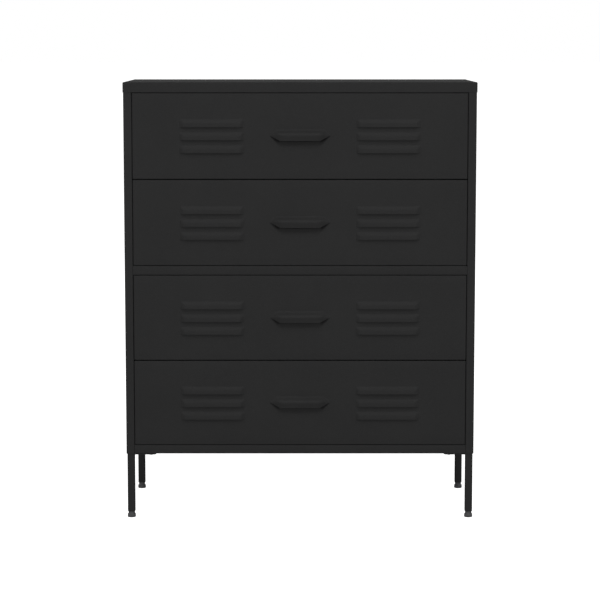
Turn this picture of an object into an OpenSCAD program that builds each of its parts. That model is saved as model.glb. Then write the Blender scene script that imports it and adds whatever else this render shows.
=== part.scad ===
// Tall chest of four sheet-steel drawers on slim square legs.
// Millimetres, +Z up. The fronts face -Y and +X is the chest's right as seen from the front.
// The origin is on the floor, at the middle of the footprint.

/* [Overall] */
// Width across the lid
width = 800; // [700:10:900]
// Depth from the lips of the pulls to the back of the lid
depth = 350; // [345:5:420]
// Height of the cabinet's underside above the floor
leg_zone = 150; // [110:5:200]
// Thickness of the pressed sheet
sheet = 1; // [0.8:0.1:1.2]

/* [Cabinet] */
// Height of the lid's folded edge
lid_h = 23; // [20:1:30]
// Height of the rail under the lowest drawer
bottom_rail_h = 20; // [16:1:30]
// Height of the rail between the second and third drawers
middle_rail_h = 21; // [16:1:30]
// Width of the post face beside each drawer
post_w = 19; // [17:1:24]
// How far each post's inner lip runs back from the front, and forward from the rear
post_lip = 40; // [36:1:50]
// Height of the two wall-anchor holes in the back panel
anchor_z = 960; // [900:5:965]
// Distance between the two wall-anchor holes
anchor_spacing = 500; // [300:10:600]

/* [Legs and feet] */
// Outside width of the square leg tube
leg_w = 17; // [15:0.5:20]
// Wall of the leg tube
leg_wall = 1.2; // [1:0.1:1.5]
// Distance from the body's faces to each leg's centre line
leg_inset = 10.3; // [10:0.1:14]
// Side of the square plate that is welded to each leg
plate_w = 66; // [60:1:80]
// Radius of the foot's disc
foot_r = 9.5; // [9:0.1:12]
// Height of the foot's disc
foot_disc_h = 8.7; // [6:0.1:10]
// Height of the leg tube's lower end above the floor
foot_h = 14.5; // [13:0.1:18]

/* [Drawers] */
// Height that each drawer takes in the front
drawer_h = 196.5; // [190:0.5:210]
// Gap around each drawer front
seam = 0.9; // [0.7:0.1:1.5]
// Depth of the folded edges of a drawer front
front_fold = 17; // [15:0.5:18]
// Height of the drawer box's sides
box_h = 136; // [120:1:140]
// Outside width of the drawer box
box_w = 732; // [726:1:732]

/* [Pull] */
// How far the hood of the pull stands out from the front
hood_out = 12; // [10:0.5:13]
// Height of the hood's slope, from its top crease to its lip
hood_h = 8.5; // [7:0.5:12]
// Height of the hood's edge, which is turned down below the lip
skirt_h = 16; // [10:0.5:18]
// How far that edge leans back
skirt_lean = 3.5; // [2:0.5:4]
// Height of the dish below the lip
dish_h = 34; // [30:0.5:38]
// How far the dish is pressed in
dish_in = 3; // [2:0.5:4]
// Height of the pocket for the fingertips behind the hood
pocket_h = 20; // [18:0.5:22]
// How far the pocket is pressed in
pocket_in = 11; // [9:0.5:13]
// Distance from a drawer's top seam down to the lip
lip_drop = 93; // [85:0.1:105]

/* [Louvres] */
// Length of one louvre
louvre_l = 146; // [120:1:160]
// Height of one louvre
louvre_h = 17.2; // [15:0.1:20]
// How far a louvre stands out
louvre_out = 4.6; // [4:0.1:4.6]
// Distance from one louvre to the next
louvre_pitch = 29.3; // [26:0.1:33]
// Distance from the chest's middle to each group of louvres
louvre_x = 200; // [180:1:230]

/* [Runners] */
// Radius of the nylon rollers
roller_r = 10; // [8:0.5:10]
// Height from a drawer's lower seam to the track that its rear rollers run on
track_rise = 30; // [26:1:36]
// Inside height of the cabinet's channel
channel_h = 26; // [25.5:0.5:28]

/* [Hidden] */
$fn = 48;

LEFT = -1;
RIGHT = 1;
FRONT = -1;
REAR = 1;
SIDES = [LEFT, RIGHT];
CORNERS = [[LEFT, FRONT], [RIGHT, FRONT], [LEFT, REAR], [RIGHT, REAR]];
DRAWERS = [1, 2, 3, 4];

black_steel = [0.17, 0.17, 0.17];
zinc_steel = [0.68, 0.69, 0.7];
grey_plastic = [0.3, 0.3, 0.31];
black_plastic = [0.08, 0.08, 0.08];
white_nylon = [0.88, 0.88, 0.85];

// the cabinet
height = leg_zone + bottom_rail_h + 4 * drawer_h + middle_rail_h + lid_h;
lid_back = depth / 2;
body_half = width / 2 - sheet;
body_front = -depth / 2 + hood_out;
lid_front = body_front - sheet;
body_back = lid_back - sheet;
panel_back = body_back - sheet;
lip_x = body_half - post_w;
middle_rail_z = leg_zone + bottom_rail_h + 2 * drawer_h;
lid_return = 12;
rail_return = 14;
rail_fold = 32;
anchor_hole_r = 3;

// the legs and feet
leg_x = body_half - leg_inset;
leg_front_y = body_front + leg_inset;
leg_rear_y = panel_back - leg_inset;
plate_t = 2.5;
plate_screw_step = 46;
screw_r = 2.4;
screw_hole_r = 2.6;
insert_h = 20;
stem_r = 4;
stem_bore_r = 4.05;
stem_socket_r = 4.02;
stem_socket_z = 5;
stem_top = 50;
neck_r = 7.5;
rest_gap = 0.3;

// the drawer boxes
front_half = lip_x - seam;
fold_back = body_front + front_fold;
box_front = fold_back;
box_back = 150;
box_half = box_w / 2;
box_rise = 14;
hem = 4;
hem_drop = 6;
side_flange = 12;
front_return = 25;
edge_return = 12;
back_drop = 8;
bottom_fold = 12;
back_flange = 12;

// the runners
runner_t = 1.2;
runner_low = 4;
flange_side_clear = 2.3;
channel_front = fold_back + 2;
channel_back = panel_back - sheet;
channel_mouth = 61;
channel_lip = 10.5;
front_roller_y = channel_front + 25;
rear_roller_y = box_back - roller_r;
front_roller_rise = roller_r + 2;
rear_roller_rise = roller_r + rest_gap;
drawer_flange_rise = front_roller_rise + roller_r + rest_gap;
stud_r = 2.5;
stud_head_r = 4;
stud_head_t = 0.9;
roller_bore_r = 2.55;
end_play = 0.5;
roller_w = 8.2;
rivet_r = 2;
rivet_head_r = 3;
rivet_hole_r = 2.1;
rivet_head_t = 0.5;
box_screw_drop = [60, 120];
box_screw_x = box_half - side_flange / 2;
back_rivet_y = box_back - back_flange / 2;
channel_rivet_y = [channel_front + 10, channel_back - 15];
runner_rivet_y = [-60, 60];
runner_rivet_rise = 14;
screw_head_r = 4.5;
screw_head_h = 2.2;
nut_r = 4.6;
nut_h = 4;
box_screw_head_r = 3.6;
box_screw_head_h = 1.8;

// a louvre's section: where its slope bends to the front, and how far that front leans
louvre_bend = 0.9;
louvre_lean = 0.5;
// and how much of the front's face shows inside its mouth
louvre_sill = 0.6;

// the pull's outline, as half widths
hood_top_half = 54;
lip_half = 47;
skirt_half = 45;
tip_half = 69;
tip_drop = 4;
recess_top_half = 50;
// dish and pocket, as half widths and as the depth below the lip where their floor begins to rise
dish_half = 48;
dish_bottom_half = 43.5;
dish_flat = 17;
pocket_half = 47;
pocket_bottom_half = 52;
pocket_flat = 9;

function drawer_z(k) = leg_zone + bottom_rail_h + (4 - k) * drawer_h + (k <= 2 ? middle_rail_h : 0);
function track_z(k) = drawer_z(k) + track_rise;
function lip_z(k) = drawer_z(k) + drawer_h - lip_drop;
function channel_rivet_z(k) = track_z(k) + channel_h / 2;
function runner_rivet_z(k) = track_z(k) + runner_rivet_rise;
function leg_y(end) = end == FRONT ? leg_front_y : leg_rear_y;

// A box between two corners.
module block(low, high) {
    translate(low) cube(high - low);
}

// A box on one side of the chest, from its inner to its outer distance from the middle plane.
module side_block(side, inner, outer, y, z) {
    low = min(side * inner, side * outer);
    high = max(side * inner, side * outer);
    block([low, y[0], z[0]], [high, y[1], z[1]]);
}

// A cylinder along X on one side of the chest.
module side_rod(side, inner, outer, y, z, r) {
    translate([side * inner, y, z])
        rotate([0, side * 90, 0])
            cylinder(h = outer - inner, r = r);
}

// The hole of a rivet along X, through sheets between two distances from the middle plane.
module rivet_hole(side, inner, outer, y, z) {
    side_rod(side, inner - 1, outer + 1, y, z, rivet_hole_r);
}

// A cylinder along Y.
module depth_rod(x, z, y_low, y_high, r) {
    translate([x, y_high, z])
        rotate([90, 0, 0])
            cylinder(h = y_high - y_low, r = r);
}

// ---- cabinet ----

// Folded tray, open below, with a return behind its front edge between the posts.
module lid() {
    low = height - lid_h;
    color(black_steel)
        union() {
            difference() {
                block([-width / 2, lid_front, low], [width / 2, lid_back, height]);
                block(
                    [-width / 2 + sheet, lid_front + sheet, low - 1],
                    [width / 2 - sheet, lid_back - sheet, height - sheet]
                );
            }
            block([-lip_x, lid_front, low], [lip_x, body_front + lid_return, low + sheet]);
        }
}

// One side with its two posts, as a channel section that stands on the bottom panel.
module side_panel(side) {
    z = [leg_zone + sheet, height - sheet];
    color(black_steel)
        difference() {
            union() {
                side_block(side, body_half - sheet, body_half, [body_front, panel_back], z);
                side_block(side, lip_x, body_half, [body_front, body_front + sheet], z);
                side_block(side, lip_x, lip_x + sheet, [body_front, body_front + post_lip], z);
                side_block(side, lip_x, body_half, [panel_back - sheet, panel_back], z);
                side_block(side, lip_x, lip_x + sheet, [panel_back - post_lip, panel_back], z);
            }
            for (k = DRAWERS, y = channel_rivet_y)
                rivet_hole(side, lip_x, lip_x + sheet, y, channel_rivet_z(k));
        }
}

module back_panel() {
    color(black_steel)
        difference() {
            block([-body_half, panel_back, leg_zone], [body_half, body_back, height - sheet]);
            for (side = SIDES)
                depth_rod(side * anchor_spacing / 2, anchor_z, panel_back - 1, body_back + 1, anchor_hole_r);
        }
}

// The cabinet's floor, folded up in front into the bottom rail.
module bottom_panel() {
    top = leg_zone + bottom_rail_h;
    color(black_steel)
        difference() {
            union() {
                block([-body_half, body_front, leg_zone], [body_half, panel_back, leg_zone + sheet]);
                block([-lip_x, body_front, leg_zone], [lip_x, body_front + sheet, top]);
                block([-lip_x, body_front, top - sheet], [lip_x, body_front + rail_return, top]);
            }
            for (corner = CORNERS)
                at_plate_screws(corner)
                    translate([0, 0, leg_zone - 1])
                        cylinder(h = sheet + 2, r = screw_hole_r);
        }
}

// Channel between the posts, open to the rear, with a tab at each end.
module middle_rail() {
    low = middle_rail_z;
    high = middle_rail_z + middle_rail_h;
    back = body_front + rail_fold;
    color(black_steel)
        difference() {
            block([-lip_x, body_front, low], [lip_x, back, high]);
            block([-lip_x + sheet, body_front + sheet, low + sheet], [lip_x - sheet, back + 1, high - sheet]);
        }
}

// ---- legs and feet ----

module at_leg(corner) {
    translate([corner[0] * leg_x, leg_y(corner[1]), 0]) children();
}

// The three screws of one leg's plate, beside and behind the tube.
module at_plate_screws(corner) {
    at_leg(corner)
        for (step = [[1, 0], [0, 1], [1, 1]])
            translate([-corner[0] * step[0] * plate_screw_step, -corner[1] * step[1] * plate_screw_step, 0])
                children();
}

// Square tube with a plate welded to its top.
module leg(corner) {
    bore_w = leg_w - 2 * leg_wall;
    plate_z = leg_zone - plate_t;
    plate_centre = (plate_w - leg_w) / 2;
    color(black_steel)
        difference() {
            union() {
                at_leg(corner)
                    translate([-leg_w / 2, -leg_w / 2, foot_h])
                        cube([leg_w, leg_w, plate_z + 0.5 - foot_h]);
                at_leg(corner)
                    translate([-corner[0] * plate_centre, -corner[1] * plate_centre, 0])
                        translate([-plate_w / 2, -plate_w / 2, plate_z])
                            cube([plate_w, plate_w, plate_t]);
            }
            at_leg(corner)
                translate([-bore_w / 2, -bore_w / 2, foot_h - 1])
                    cube([bore_w, bore_w, plate_z + 1 - foot_h]);
            at_plate_screws(corner)
                translate([0, 0, plate_z - 1])
                    cylinder(h = plate_t + 2, r = screw_hole_r);
        }
}

// Threaded plugs in the lower ends of the tubes.
module leg_inserts() {
    insert_w = leg_w - 2 * leg_wall;
    color(black_plastic)
        for (corner = CORNERS)
            at_leg(corner)
                difference() {
                    translate([-insert_w / 2, -insert_w / 2, foot_h])
                        cube([insert_w, insert_w, insert_h]);
                    translate([0, 0, foot_h - 1])
                        cylinder(h = insert_h + 2, r = stem_bore_r);
                }
}

module foot(corner) {
    color(grey_plastic)
        at_leg(corner)
            difference() {
                union() {
                    cylinder(h = foot_disc_h, r = foot_r);
                    cylinder(h = foot_h - rest_gap, r = neck_r);
                }
                translate([0, 0, stem_socket_z])
                    cylinder(h = foot_h, r = stem_socket_r);
            }
}

module foot_stem(corner) {
    color(zinc_steel)
        at_leg(corner)
            translate([0, 0, stem_socket_z])
                cylinder(h = stem_top - stem_socket_z, r = stem_r);
}

// ---- runners and rollers ----

// Two channels that face each other, each with a swaged stud for its front roller.
module cabinet_runners(k) {
    track = track_z(k);
    inner = lip_x - sheet - channel_lip;
    y = [channel_front, channel_back];
    top = [track + channel_h, track + channel_h + sheet];
    color(zinc_steel)
        for (side = SIDES)
            difference() {
                union() {
                    side_block(side, lip_x - sheet, lip_x, y, [track - sheet, track + channel_h + sheet]);
                    side_block(side, inner, lip_x, y, [track - sheet, track]);
                    side_block(side, inner, lip_x, [channel_front + channel_mouth, channel_back], top);
                    front_stud(k, side);
                }
                for (rivet_y = channel_rivet_y)
                    rivet_hole(side, lip_x - sheet, lip_x, rivet_y, channel_rivet_z(k));
            }
}

module front_stud(k, side) {
    z = track_z(k) + front_roller_rise;
    shoulder = lip_x - sheet - roller_w - 2 * end_play;
    side_rod(side, shoulder - stud_head_t / 2, lip_x - sheet / 2, front_roller_y, z, stud_r);
    side_rod(side, shoulder - stud_head_t, shoulder, front_roller_y, z, stud_head_r);
}

// The pair of rollers that carry the drawer's flanges.
module front_rollers(k) {
    color(white_nylon)
        for (side = SIDES)
            roller(side, lip_x - sheet - end_play - roller_w, front_roller_y, track_z(k) + front_roller_rise);
}

// The pair of rollers that run along the cabinet's channels.
module rear_rollers(k) {
    color(white_nylon)
        for (side = SIDES)
            roller(side, box_half + runner_t + end_play, rear_roller_y, track_z(k) + rear_roller_rise);
}

module roller(side, inner, y, z) {
    difference() {
        side_rod(side, inner, inner + roller_w, y, z, roller_r);
        side_rod(side, inner - 1, inner + roller_w + 1, y, z, roller_bore_r);
    }
}

// Two angles on the drawer's sides, each with a swaged stud for its rear roller.
module drawer_runners(k) {
    low = track_z(k) + runner_low;
    flange = track_z(k) + drawer_flange_rise;
    outer = box_half + runner_t;
    edge = lip_x - sheet - flange_side_clear;
    y = [box_front + 1, box_back];
    color(zinc_steel)
        for (side = SIDES)
            difference() {
                union() {
                    side_block(side, box_half, outer, y, [low, flange + runner_t]);
                    side_block(side, box_half, edge, y, [flange, flange + runner_t]);
                    rear_stud(k, side);
                }
                for (rivet_y = runner_rivet_y)
                    rivet_hole(side, box_half, outer, rivet_y, runner_rivet_z(k));
            }
}

module rear_stud(k, side) {
    z = track_z(k) + rear_roller_rise;
    inner = box_half + runner_t;
    shoulder = inner + roller_w + 2 * end_play;
    side_rod(side, inner - runner_t / 2, shoulder + stud_head_t / 2, rear_roller_y, z, stud_r);
    side_rod(side, shoulder, shoulder + stud_head_t, rear_roller_y, z, stud_head_r);
}

// ---- drawers ----

// Folded front with six louvres and a pull pressed into its face.
module drawer_front(k) {
    low = drawer_z(k) + seam;
    high = drawer_z(k) + drawer_h - seam;
    middle = drawer_z(k) + drawer_h / 2;
    color(black_steel)
        difference() {
            union() {
                front_tray(low, high);
                translate([0, body_front, lip_z(k)]) {
                    hood(0);
                    dish(sheet);
                    pocket(sheet);
                }
                for (side = SIDES, row = [-1:1])
                    translate([side * louvre_x, body_front, middle + row * louvre_pitch])
                        louvre_outside();
            }
            translate([0, body_front, lip_z(k)]) {
                hood(sheet);
                dish(0);
                pocket(0);
            }
            for (side = SIDES, row = [-1:1])
                translate([side * louvre_x, body_front, middle + row * louvre_pitch])
                    louvre_inside();
            for (side = SIDES, drop = box_screw_drop)
                depth_rod(side * box_screw_x, drawer_z(k) + drop, fold_back - 3, fold_back + 1, rivet_hole_r);
        }
}

// Face, folded edges and the returns behind them.
module front_tray(low, high) {
    difference() {
        block([-front_half, body_front, low], [front_half, fold_back, high]);
        block(
            [-front_half + sheet, body_front + sheet, low + sheet],
            [front_half - sheet, fold_back - sheet, high - sheet]
        );
        block(
            [-front_half + front_return, fold_back - sheet - 1, low + edge_return],
            [front_half - front_return, fold_back + 1, high - edge_return]
        );
    }
}

// The raised upper half of the pull: a slope down to the lip, and the edge turned down below it.
// As a cut it is smaller by the sheet's thickness, and open below.
module hood(smaller) {
    top = hood_h - smaller * norm([hood_out, hood_h]) / hood_out;
    reach = hood_out - 1.2 * smaller;
    lip = top - reach * hood_h / hood_out;
    low = -skirt_h - smaller;
    low_reach = reach - skirt_lean * (lip - low) / skirt_h;
    inset = 2 * smaller;
    edge = tip_half - inset;
    hull() {
        face_plate(0, smaller > 0 ? 2 * sheet : sheet / 2, [
            [-edge, -tip_drop], [edge, -tip_drop], [hood_top_half, top], [-hood_top_half, top]
        ]);
        if (smaller > 0)
            face_plate(0, 2 * sheet, [
                [-skirt_half, low], [skirt_half, low],
                [skirt_half, -tip_drop], [-skirt_half, -tip_drop]
            ]);
        block([-lip_half + inset, -reach, lip], [lip_half - inset, 0, lip + 0.01]);
        block([-skirt_half + inset, -low_reach, low], [skirt_half - inset, 0, low + 0.01]);
    }
}

// The shallow dish below the hood, and the pocket for the fingertips behind it.
// The outside of each is larger by the sheet's thickness than its cut.
module dish(larger) {
    recess(larger, dish_h, dish_flat, dish_in, dish_half, dish_bottom_half);
}

module pocket(larger) {
    recess(larger, pocket_h, pocket_flat, pocket_in, pocket_half, pocket_bottom_half);
}

// A recess with a flat floor down to one depth below the lip, which then rises to the face.
module recess(larger, high, flat, deep, floor_half, bottom_half) {
    top_half = recess_top_half + larger;
    half = tip_half + larger;
    low = -high - larger / 2;
    front = larger > 0 ? 0 : -0.1;
    hull() {
        face_plate(front, front + 0.1, [
            [-top_half, 0], [-half, -tip_drop], [-bottom_half - larger, low],
            [bottom_half + larger, low], [half, -tip_drop], [top_half, 0]
        ]);
        block([-floor_half - larger, 0, -flat - larger / 2], [floor_half + larger, deep + larger, 0]);
    }
}

// A flat plate with an outline in the XZ plane, between two distances behind the face.
module face_plate(front, back, outline) {
    translate([0, back, 0])
        rotate([90, 0, 0])
            linear_extrude(back - front)
                polygon(outline);
}

// Section of a louvre, as distance out of the face against height above its lower edge.
module louvre_outside() {
    crease = louvre_h / 2;
    louvre_prism(louvre_l, [
        [-sheet / 2, -crease], [louvre_out, -crease], [louvre_out - louvre_lean, louvre_bend],
        [0, crease], [-sheet / 2, crease]
    ]);
}

module louvre_inside() {
    crease = louvre_h / 2;
    slope = (crease - louvre_bend) / (louvre_out - louvre_lean);
    drop = sheet * norm([1, slope]);
    louvre_prism(louvre_l - 2 * sheet, [
        [-2 * sheet, -crease + louvre_sill], [0, -crease + louvre_sill], [0, -crease - 1],
        [louvre_out - sheet, -crease - 1],
        [louvre_out - sheet - louvre_lean, louvre_bend + slope * sheet - drop],
        [-2 * sheet, crease - drop + slope * 2 * sheet]
    ]);
}

module louvre_prism(length, section) {
    translate([length / 2, 0, 0])
        rotate([0, -90, 0])
            linear_extrude(length)
                polygon([for (p = section) [p[1], -p[0]]]);
}

// One side of a drawer box: flanges in front and below, and a hem along the top.
module drawer_side(k, side) {
    low = drawer_z(k) + box_rise;
    high = low + box_h;
    y = [box_front, box_back];
    inner = box_half - sheet;
    color(black_steel)
        difference() {
            union() {
                side_block(side, inner, box_half, y, [low, high]);
                side_block(side, inner - side_flange, box_half, [box_front, box_front + sheet], [low, high]);
                side_block(side, inner - side_flange, box_half, y, [low, low + sheet]);
                side_block(side, inner - hem, box_half, y, [high - sheet, high]);
                side_block(side, inner - hem, inner - hem + sheet, y, [high - hem_drop, high]);
            }
            for (drop = box_screw_drop) {
                z = drawer_z(k) + drop;
                depth_rod(side * box_screw_x, z, box_front - 1, box_front + 2, rivet_hole_r);
                rivet_hole(side, inner, box_half, back_rivet_y, z);
            }
            for (rivet_y = runner_rivet_y)
                rivet_hole(side, inner, box_half, rivet_y, runner_rivet_z(k));
        }
}

module drawer_back(k) {
    low = drawer_z(k) + box_rise + 2 * sheet;
    high = drawer_z(k) + box_rise + box_h - back_drop;
    inner = box_half - sheet;
    color(black_steel)
        difference() {
            union() {
                block([-inner, box_back - sheet, low], [inner, box_back, high]);
                for (side = SIDES)
                    side_block(side, inner - sheet, inner, [box_back - back_flange, box_back], [low, high]);
                block([-inner, box_back - hem, high - sheet], [inner, box_back, high]);
            }
            for (side = SIDES, drop = box_screw_drop)
                rivet_hole(side, inner - sheet, inner, back_rivet_y, drawer_z(k) + drop);
        }
}

// Floor of a drawer, folded up behind the front.
module drawer_bottom(k) {
    low = drawer_z(k) + box_rise + sheet;
    inner = box_half - sheet;
    front = box_front + sheet;
    fold_half = inner - side_flange;
    color(black_steel)
        union() {
            block([-inner, front, low], [inner, box_back, low + sheet]);
            block([-fold_half, front, low], [fold_half, front + sheet, low + bottom_fold]);
        }
}

// ---- fasteners ----

// Leg screws with their nuts, and the rivets that hold the channels to the posts.
module cabinet_fasteners() {
    plate_z = leg_zone - plate_t;
    color(zinc_steel) {
        for (corner = CORNERS)
            at_plate_screws(corner) {
                translate([0, 0, plate_z - screw_head_h])
                    cylinder(h = screw_head_h, r = screw_head_r);
                translate([0, 0, plate_z - 1])
                    cylinder(h = plate_t + sheet + nut_h + 2, r = screw_r);
                translate([0, 0, leg_zone + sheet])
                    cylinder(h = nut_h, r = nut_r, $fn = 6);
            }
        for (k = DRAWERS, side = SIDES, y = channel_rivet_y)
            sheet_rivet(side, lip_x - sheet, lip_x + sheet, y, channel_rivet_z(k));
    }
}

// A rivet along X: its shank and both heads, through sheets between two distances.
module sheet_rivet(side, inner, outer, y, z) {
    side_rod(side, inner - rivet_head_t, outer + rivet_head_t, y, z, rivet_r);
    side_rod(side, inner - rivet_head_t, inner, y, z, rivet_head_r);
    side_rod(side, outer, outer + rivet_head_t, y, z, rivet_head_r);
}

// Screws through the front's returns, and rivets through the back's flanges and the runners.
module drawer_fasteners(k) {
    inner = box_half - sheet;
    seat = box_front + sheet;
    color(zinc_steel)
        for (side = SIDES) {
            for (drop = box_screw_drop) {
                z = drawer_z(k) + drop;
                depth_rod(side * box_screw_x, z, box_front - 4, seat + 1, rivet_r);
                depth_rod(side * box_screw_x, z, seat, seat + box_screw_head_h, box_screw_head_r);
                sheet_rivet(side, inner - sheet, box_half, back_rivet_y, z);
            }
            for (y = runner_rivet_y)
                sheet_rivet(side, inner, box_half + runner_t, y, runner_rivet_z(k));
        }
}

lid();
side_panel(LEFT);  // side_panel_left
side_panel(RIGHT);  // side_panel_right
back_panel();
bottom_panel();
middle_rail();
leg([LEFT, FRONT]);  // leg_front_left
leg([RIGHT, FRONT]);  // leg_front_right
leg([LEFT, REAR]);  // leg_rear_left
leg([RIGHT, REAR]);  // leg_rear_right
leg_inserts();
cabinet_runners(1);  // cabinet_runners_1
cabinet_runners(2);  // cabinet_runners_2
cabinet_runners(3);  // cabinet_runners_3
cabinet_runners(4);  // cabinet_runners_4
cabinet_fasteners();
foot([LEFT, FRONT]);  // foot_front_left
foot([RIGHT, FRONT]);  // foot_front_right
foot([LEFT, REAR]);  // foot_rear_left
foot([RIGHT, REAR]);  // foot_rear_right
foot_stem([LEFT, FRONT]);  // foot_stem_front_left
foot_stem([RIGHT, FRONT]);  // foot_stem_front_right
foot_stem([LEFT, REAR]);  // foot_stem_rear_left
foot_stem([RIGHT, REAR]);  // foot_stem_rear_right
front_rollers(1);  // front_rollers_1
front_rollers(2);  // front_rollers_2
front_rollers(3);  // front_rollers_3
front_rollers(4);  // front_rollers_4
rear_rollers(1);  // rear_rollers_1
rear_rollers(2);  // rear_rollers_2
rear_rollers(3);  // rear_rollers_3
rear_rollers(4);  // rear_rollers_4
drawer_front(1);  // drawer_front_1
drawer_front(2);  // drawer_front_2
drawer_front(3);  // drawer_front_3
drawer_front(4);  // drawer_front_4
drawer_side(1, LEFT);  // drawer_side_left_1
drawer_side(2, LEFT);  // drawer_side_left_2
drawer_side(3, LEFT);  // drawer_side_left_3
drawer_side(4, LEFT);  // drawer_side_left_4
drawer_side(1, RIGHT);  // drawer_side_right_1
drawer_side(2, RIGHT);  // drawer_side_right_2
drawer_side(3, RIGHT);  // drawer_side_right_3
drawer_side(4, RIGHT);  // drawer_side_right_4
drawer_back(1);  // drawer_back_1
drawer_back(2);  // drawer_back_2
drawer_back(3);  // drawer_back_3
drawer_back(4);  // drawer_back_4
drawer_bottom(1);  // drawer_bottom_1
drawer_bottom(2);  // drawer_bottom_2
drawer_bottom(3);  // drawer_bottom_3
drawer_bottom(4);  // drawer_bottom_4
drawer_runners(1);  // drawer_runners_1
drawer_runners(2);  // drawer_runners_2
drawer_runners(3);  // drawer_runners_3
drawer_runners(4);  // drawer_runners_4
drawer_fasteners(1);  // drawer_fasteners_1
drawer_fasteners(2);  // drawer_fasteners_2
drawer_fasteners(3);  // drawer_fasteners_3
drawer_fasteners(4);  // drawer_fasteners_4
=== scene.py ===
import math

import bmesh
import bpy
from mathutils import Matrix, Vector


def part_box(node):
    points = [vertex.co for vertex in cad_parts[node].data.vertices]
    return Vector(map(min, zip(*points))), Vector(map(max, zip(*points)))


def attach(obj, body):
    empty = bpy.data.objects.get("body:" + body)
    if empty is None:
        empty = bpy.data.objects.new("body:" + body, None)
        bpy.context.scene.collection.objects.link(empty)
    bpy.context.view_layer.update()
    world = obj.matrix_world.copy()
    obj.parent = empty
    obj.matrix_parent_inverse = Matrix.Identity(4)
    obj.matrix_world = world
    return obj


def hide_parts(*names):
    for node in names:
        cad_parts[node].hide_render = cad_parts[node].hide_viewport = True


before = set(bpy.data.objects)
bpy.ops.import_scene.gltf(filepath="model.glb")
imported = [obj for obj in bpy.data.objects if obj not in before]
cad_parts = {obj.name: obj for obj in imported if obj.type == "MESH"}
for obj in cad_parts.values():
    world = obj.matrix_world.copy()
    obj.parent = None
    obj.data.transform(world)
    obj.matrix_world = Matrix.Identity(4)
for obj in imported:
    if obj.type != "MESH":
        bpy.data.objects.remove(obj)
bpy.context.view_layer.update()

MM = 0.001
SHEET = 1.0 * MM
SIDES = (-1, 1)
DRAWERS = (1, 2, 3, 4)
CORNERS = {"front_left": (-1, -1), "front_right": (1, -1), "rear_left": (-1, 1), "rear_right": (1, 1)}


# ---- small helpers ----

def corners(node):
    low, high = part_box(node)
    return Vector(low), Vector(high)


def soft_min(a, b, k):
    h = max(k - abs(a - b), 0.0) / k
    return min(a, b) - h * h * k * 0.25


def soft_max(a, b, k):
    return -soft_min(-a, -b, k)


def new_object(name, data):
    obj = bpy.data.objects.new(name, data)
    bpy.context.scene.collection.objects.link(obj)
    return obj


def mesh_from(name, verts, faces):
    mesh = bpy.data.meshes.new(name)
    mesh.from_pydata([tuple(v) for v in verts], [], faces)
    mesh.validate()
    return mesh


def tidy_normals(mesh):
    bm = bmesh.new()
    bm.from_mesh(mesh)
    bmesh.ops.recalc_face_normals(bm, faces=bm.faces)
    bm.to_mesh(mesh)
    bm.free()


def smooth(mesh, degrees=32):
    mesh.shade_smooth()
    mesh.set_sharp_from_angle(angle=math.radians(degrees))


def apply_modifiers(obj):
    graph = bpy.context.evaluated_depsgraph_get()
    done = bpy.data.meshes.new_from_object(obj.evaluated_get(graph))
    old = obj.data
    obj.modifiers.clear()
    obj.data = done
    bpy.data.meshes.remove(old)
    done.name = obj.name


def piece(name, parts, material, body, nodes, degrees=32):
    """One object from a list of (verts, faces) parts, riding on its body."""
    verts, faces = [], []
    for part_verts, part_faces in parts:
        start = len(verts)
        verts += part_verts
        faces += [[i + start for i in face] for face in part_faces]
    mesh = mesh_from(name, verts, faces)
    tidy_normals(mesh)
    smooth(mesh, degrees)
    obj = new_object(name, mesh)
    return place(obj, material, body, nodes)


def place(obj, material, body, nodes):
    """Gives an object its material, body and slot, and hides the CAD nodes that it stands for."""
    obj.data.materials.clear()
    obj.data.materials.append(material)
    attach(obj, body)
    if nodes:
        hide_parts(*nodes)
    return obj


def add_bevel(obj, width, segments, degrees):
    bevel = obj.modifiers.new("edge", "BEVEL")
    bevel.width = width
    bevel.segments = segments
    bevel.limit_method = "ANGLE"
    bevel.angle_limit = math.radians(degrees)
    bevel.harden_normals = False


def micro_bevel(obj):
    """Takes the sharpness off a folded part's cut edges."""
    add_bevel(obj, 0.15 * MM, 1, 50)
    apply_modifiers(obj)
    smooth(obj.data, 40)


# ---- sheet-metal shapes ----

def bend_points(path, radius, inward, steps=5):
    """Points and inward normals along a folded path. inward is +1 for the left of its direction."""
    points = []
    count = len(path)
    for i, p in enumerate(path):
        p = Vector(p)
        if i in (0, count - 1):
            other = Vector(path[1]) if i == 0 else Vector(path[i - 1])
            d = (other - p) if i == 0 else (p - other)
            d.normalize()
            points.append((p, Vector((-d.y, d.x)) * inward))
            continue
        a = (p - Vector(path[i - 1])).normalized()
        b = (Vector(path[i + 1]) - p).normalized()
        turn = a.x * b.y - a.y * b.x
        angle = math.atan2(turn, a.dot(b))
        if abs(angle) < 1e-6:
            points.append((p, Vector((-a.y, a.x)) * inward))
            continue
        r = radius if turn * inward > 0 else max(radius - SHEET, 0.4 * MM)
        reach = r * math.tan(abs(angle) / 2)
        start = p - a * reach
        na = Vector((-a.y, a.x))
        centre = start + na * r * math.copysign(1, turn)
        for s in range(steps + 1):
            t = angle * s / steps
            c, sn = math.cos(t), math.sin(t)
            spoke = start - centre
            q = centre + Vector((spoke.x * c - spoke.y * sn, spoke.x * sn + spoke.y * c))
            n = Vector((na.x * c - na.y * sn, na.x * sn + na.y * c)) * inward
            points.append((q, n))
    return points


def along_x(u, v, w):
    return Vector((w, u, v))


def along_y(u, v, w):
    return Vector((u, w, v))


def along_z(u, v, w):
    return Vector((u, v, w))


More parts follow.
